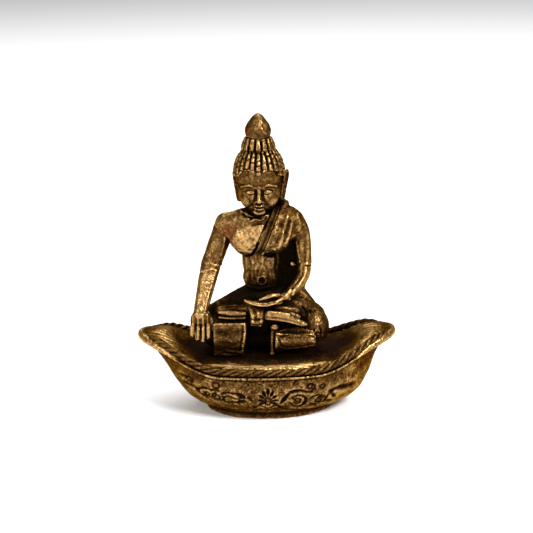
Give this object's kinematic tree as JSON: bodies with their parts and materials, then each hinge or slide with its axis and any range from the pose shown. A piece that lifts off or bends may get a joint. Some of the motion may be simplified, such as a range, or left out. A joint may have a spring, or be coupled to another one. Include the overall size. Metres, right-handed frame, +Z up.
{
  "type": "buddha statue",
  "caption": "Miniature cast brass Buddha seated in a boat-shaped ingot with a twisted rope rim, right hand reaching down to touch the earth.",
  "frame": {"origin": "middle of the underside of the boat's foot, on the surface it stands on", "axes": "+Z up towards the finial, -Y the way the figure looks, +X towards the figure's left hand"},
  "size_m": [0.0264, 0.0124, 0.03],
  "materials": {
    "hull_brass": "cast antique brass, dark in the incised lines, pitted, satin",
    "rope_brass": "cast antique brass, rubbed bright on the strands, dark between them",
    "figure_brass": "cast antique brass, brown-black in the hollows, worn golden on the raised parts",
    "rubbed_brass": "antique brass rubbed bright by handling, with reddish copper patches",
    "peg_brass": "plain drawn brass, dull"
  },
  "bodies": {
    "root": {"boat_hull": "hull_brass", "base_plate": "hull_brass", "rim_rope_front": "rope_brass", "rim_rope_back": "rope_brass", "lap": "figure_brass", "right_shin": "figure_brass", "left_shin": "figure_brass", "robe_end": "figure_brass", "torso": "figure_brass", "robe": "figure_brass", "sash": "figure_brass", "right_upper_arm": "figure_brass", "left_upper_arm": "figure_brass", "left_forearm": "figure_brass", "head": "figure_brass", "right_ear": "figure_brass", "left_ear": "figure_brass", "hair_cap": "figure_brass", "topknot": "figure_brass", "right_forearm": "rubbed_brass", "right_hand": "rubbed_brass", "left_hand": "rubbed_brass", "right_foot": "rubbed_brass", "left_foot": "rubbed_brass", "lap_prop": "rubbed_brass", "finial": "rubbed_brass", "seat_peg_right": "peg_brass", "seat_peg_left": "peg_brass"}
  },
  "joints": []
}
